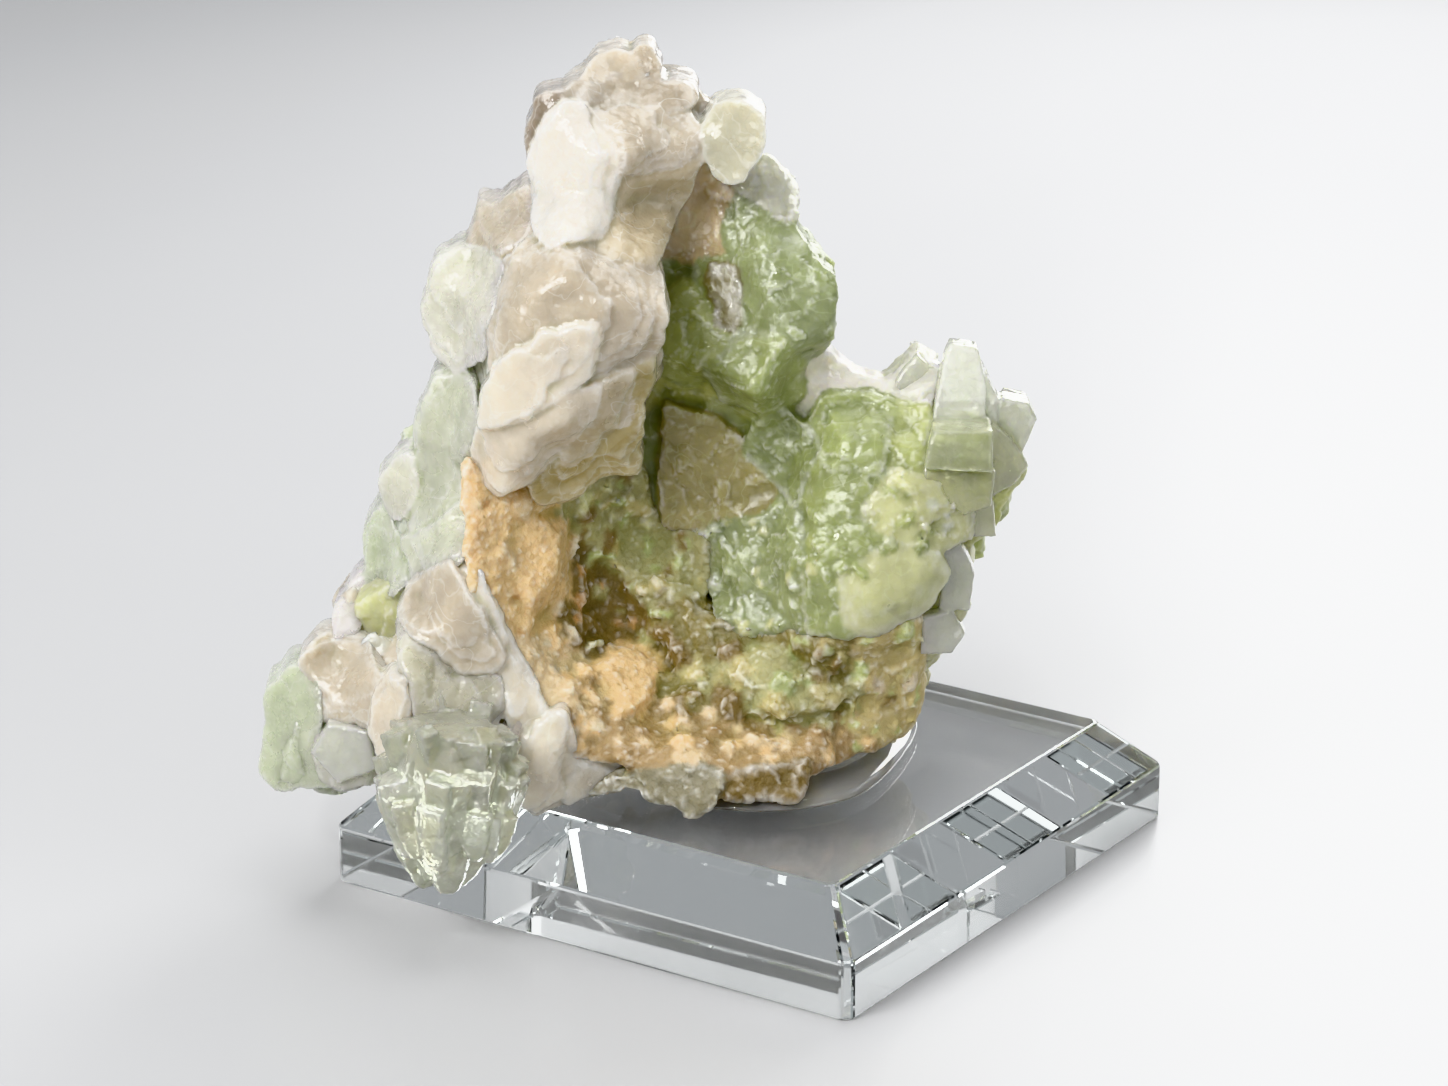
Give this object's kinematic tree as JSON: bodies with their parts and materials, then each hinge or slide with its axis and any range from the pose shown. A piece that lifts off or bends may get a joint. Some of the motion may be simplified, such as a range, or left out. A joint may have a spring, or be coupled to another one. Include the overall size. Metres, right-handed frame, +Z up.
{
  "type": "mineral specimen on acrylic base",
  "caption": "Grown-together apophyllite and stilbite crystals, fixed with clear gel on a square bevelled acrylic block for display.",
  "frame": {"origin": "centre of the acrylic block's underside", "axes": "+Z up, X and Y along the block's sides; the specimen faces -Y turned 33.63 degrees toward +X"},
  "size_m": [0.0836, 0.0842, 0.0957],
  "materials": {
    "specimen": "crystalline, pearly to glassy",
    "gel": "clear, soft gloss",
    "acrylic": "polished clear"
  },
  "bodies": {
    "root": {"specimen": "specimen", "mounting_pad": "gel", "acrylic_base": "acrylic"}
  },
  "joints": []
}
